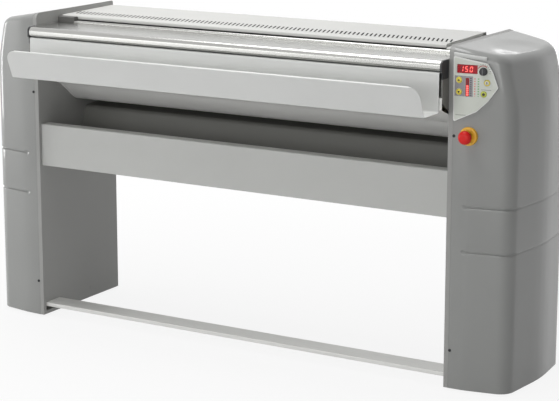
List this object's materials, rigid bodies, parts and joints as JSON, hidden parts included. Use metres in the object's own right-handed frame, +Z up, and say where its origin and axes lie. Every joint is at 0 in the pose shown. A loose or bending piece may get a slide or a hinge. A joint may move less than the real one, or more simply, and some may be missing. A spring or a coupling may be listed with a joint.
{
  "type": "flatwork ironer",
  "caption": "Free-standing roller ironer for flat linen: padded roller over a hinged heated chest, feed table with tray, vented hood, return bin and foot bar.",
  "frame": {"origin": "on the floor, in the middle of the machine's footprint", "axes": "+X along the roller to the end with the controls, +Y from the feed side to the rear, +Z up"},
  "size_m": [1.9108, 0.628, 1.024],
  "materials": {
    "moulding": "satin moulded grey",
    "frame_steel": "powder coated dark grey",
    "panel_paint": "powder coated grey",
    "pale_paint": "powder coated pale grey",
    "hood_paint": "powder coated off-white",
    "polished_steel": "polished",
    "brushed_steel": "brushed",
    "zinc_steel": "zinc plated",
    "cast_alloy": "cast",
    "black_plastic": "matt black",
    "label_plate": "satin pale grey",
    "red_window": "red window over a display",
    "red_plastic": "gloss red",
    "yellow_plastic": "satin yellow",
    "cloth": "woven cotton",
    "felt": "needled felt",
    "wool": "mineral wool board",
    "board": "circuit board with relays"
  },
  "bodies": {
    "frame": {"left_cabinet_cover": "moulding", "right_cabinet_cover": "moulding", "left_side_frame": "frame_steel", "left_upper_cover_screw": "zinc_steel", "left_lower_cover_screw": "zinc_steel", "right_side_frame": "frame_steel", "right_upper_cover_screw": "zinc_steel", "right_lower_cover_screw": "zinc_steel", "left_roller_bearing": "cast_alloy", "right_roller_bearing": "cast_alloy", "drive_chain": "zinc_steel", "gearmotor": "cast_alloy", "chest_actuator": "black_plastic", "feed_table": "polished_steel", "left_table_bracket": "black_plastic", "right_table_bracket": "black_plastic", "feed_tray": "pale_paint", "guard_switch_block": "frame_steel", "vent_hood": "hood_paint", "hood_end_plate": "hood_paint", "front_crossbeam": "panel_paint", "back_panel": "panel_paint", "belly_shell": "panel_paint", "return_chute": "frame_steel", "control_plate": "label_plate", "display_module": "red_window", "stop_collar": "yellow_plastic", "fan_housing": "cast_alloy", "control_board": "board", "cable_gland": "black_plastic"},
    "roller": {"roller_tube": "brushed_steel", "roller_padding": "felt", "roller_cloth": "cloth", "left_roller_end": "zinc_steel", "right_roller_end": "zinc_steel", "roller_sprocket": "zinc_steel"},
    "motor_sprocket": {"motor_sprocket": "zinc_steel"},
    "fan_rotor": {"fan_rotor": "cast_alloy"},
    "chest": {"heated_chest": "cast_alloy", "chest_insulation": "wool", "heater_1": "zinc_steel", "heater_2": "zinc_steel", "chest_shaft": "zinc_steel", "chest_lever": "zinc_steel"},
    "actuator_rod": {"actuator_rod": "zinc_steel"},
    "foot_bar": {"pedal_bar": "brushed_steel", "left_pedal_arm": "zinc_steel", "right_pedal_arm": "zinc_steel"},
    "infeed_guard": {"infeed_guard": "polished_steel"},
    "stop_stem": {"stop_stem": "black_plastic"},
    "stop_cap": {"stop_cap": "red_plastic"},
    "mode_knob": {"mode_knob": "black_plastic"},
    "up_button": {"up_button": "yellow_plastic"},
    "down_button": {"down_button": "yellow_plastic"},
    "start_button": {"start_button": "yellow_plastic"},
    "stop_button": {"stop_button": "yellow_plastic"},
    "left_front_foot": {"left_front_foot": "black_plastic"},
    "left_rear_foot": {"left_rear_foot": "black_plastic"},
    "right_front_foot": {"right_front_foot": "black_plastic"},
    "right_rear_foot": {"right_rear_foot": "black_plastic"}
  },
  "joints": [
    {"name": "roller_spin", "type": "hinge", "parent": "frame", "child": "roller", "pos_m": [-0.035, 0.144, 0.865], "axis": [1, 0, 0], "continuous": true},
    {"name": "motor_sprocket_spin", "type": "hinge", "parent": "frame", "child": "motor_sprocket", "pos_m": [-0.7725, 0.059, 0.69], "axis": [1, 0, 0], "continuous": true},
    {"name": "fan_spin", "type": "hinge", "parent": "frame", "child": "fan_rotor", "pos_m": [-0.815, 0.159, 0.3], "axis": [1, 0, 0], "continuous": true},
    {"name": "chest_swing", "type": "hinge", "parent": "frame", "child": "chest", "pos_m": [0, 0.23579, 0.75365], "axis": [-1, 0, 0], "range_deg": [0, 3.3]},
    {"name": "actuator_slide", "type": "slide", "parent": "frame", "child": "actuator_rod", "axis": [0, 0, 1], "range_m": [0, 0.0047]},
    {"name": "foot_bar_press", "type": "hinge", "parent": "frame", "child": "foot_bar", "pos_m": [0, 0.124, 0.0425], "axis": [1, 0, 0], "range_deg": [0, 3.5], "stiffness_Nm_per_rad": 90, "springref_deg": -5.16},
    {"name": "guard_tilt", "type": "hinge", "parent": "frame", "child": "infeed_guard", "pos_m": [0, -0.0171, 0.974], "axis": [-1, 0, 0], "range_deg": [0, 6], "stiffness_Nm_per_rad": 3, "springref_deg": -5.73},
    {"name": "stop_push", "type": "slide", "parent": "frame", "child": "stop_stem", "axis": [0, 1, 0], "range_m": [0, 0.0055], "stiffness_N_per_m": 500, "springref_m": -0.003},
    {"name": "stop_twist", "type": "hinge", "parent": "stop_stem", "child": "stop_cap", "pos_m": [0.8045, -0.171, 0.767], "axis": [0, -1, 0], "range_deg": [0, 45], "stiffness_Nm_per_rad": 0.03, "springref_deg": -5.73},
    {"name": "mode_turn", "type": "hinge", "parent": "frame", "child": "mode_knob", "pos_m": [0.844, -0.13324, 0.956], "axis": [0.1738, -0.9848, 0], "range_deg": [-60, 60]},
    {"name": "up_press", "type": "slide", "parent": "frame", "child": "up_button", "axis": [0, 1, 0], "range_m": [0, 0.0015], "stiffness_N_per_m": 400, "springref_m": -0.001},
    {"name": "down_press", "type": "slide", "parent": "frame", "child": "down_button", "axis": [0, 1, 0], "range_m": [0, 0.0015], "stiffness_N_per_m": 400, "springref_m": -0.001},
    {"name": "start_press", "type": "slide", "parent": "frame", "child": "start_button", "axis": [-0.1738, 0.9848, 0], "range_m": [0, 0.0015], "stiffness_N_per_m": 400, "springref_m": -0.001},
    {"name": "stop_press", "type": "slide", "parent": "frame", "child": "stop_button", "axis": [-0.1738, 0.9848, 0], "range_m": [0, 0.0015], "stiffness_N_per_m": 400, "springref_m": -0.001},
    {"name": "left_front_foot_screw_out", "type": "slide", "parent": "frame", "child": "left_front_foot", "axis": [0, 0, -1], "range_m": [0, 0.012]},
    {"name": "left_rear_foot_screw_out", "type": "slide", "parent": "frame", "child": "left_rear_foot", "axis": [0, 0, -1], "range_m": [0, 0.012]},
    {"name": "right_front_foot_screw_out", "type": "slide", "parent": "frame", "child": "right_front_foot", "axis": [0, 0, -1], "range_m": [0, 0.012]},
    {"name": "right_rear_foot_screw_out", "type": "slide", "parent": "frame", "child": "right_rear_foot", "axis": [0, 0, -1], "range_m": [0, 0.012]}
  ],
  "couplings": [
    {"joint": "motor_sprocket_spin", "follows": "roller_spin", "ratio": 2.4545},
    {"joint": "actuator_slide", "follows": "chest_swing", "m_per_rad": 0.08}
  ]
}
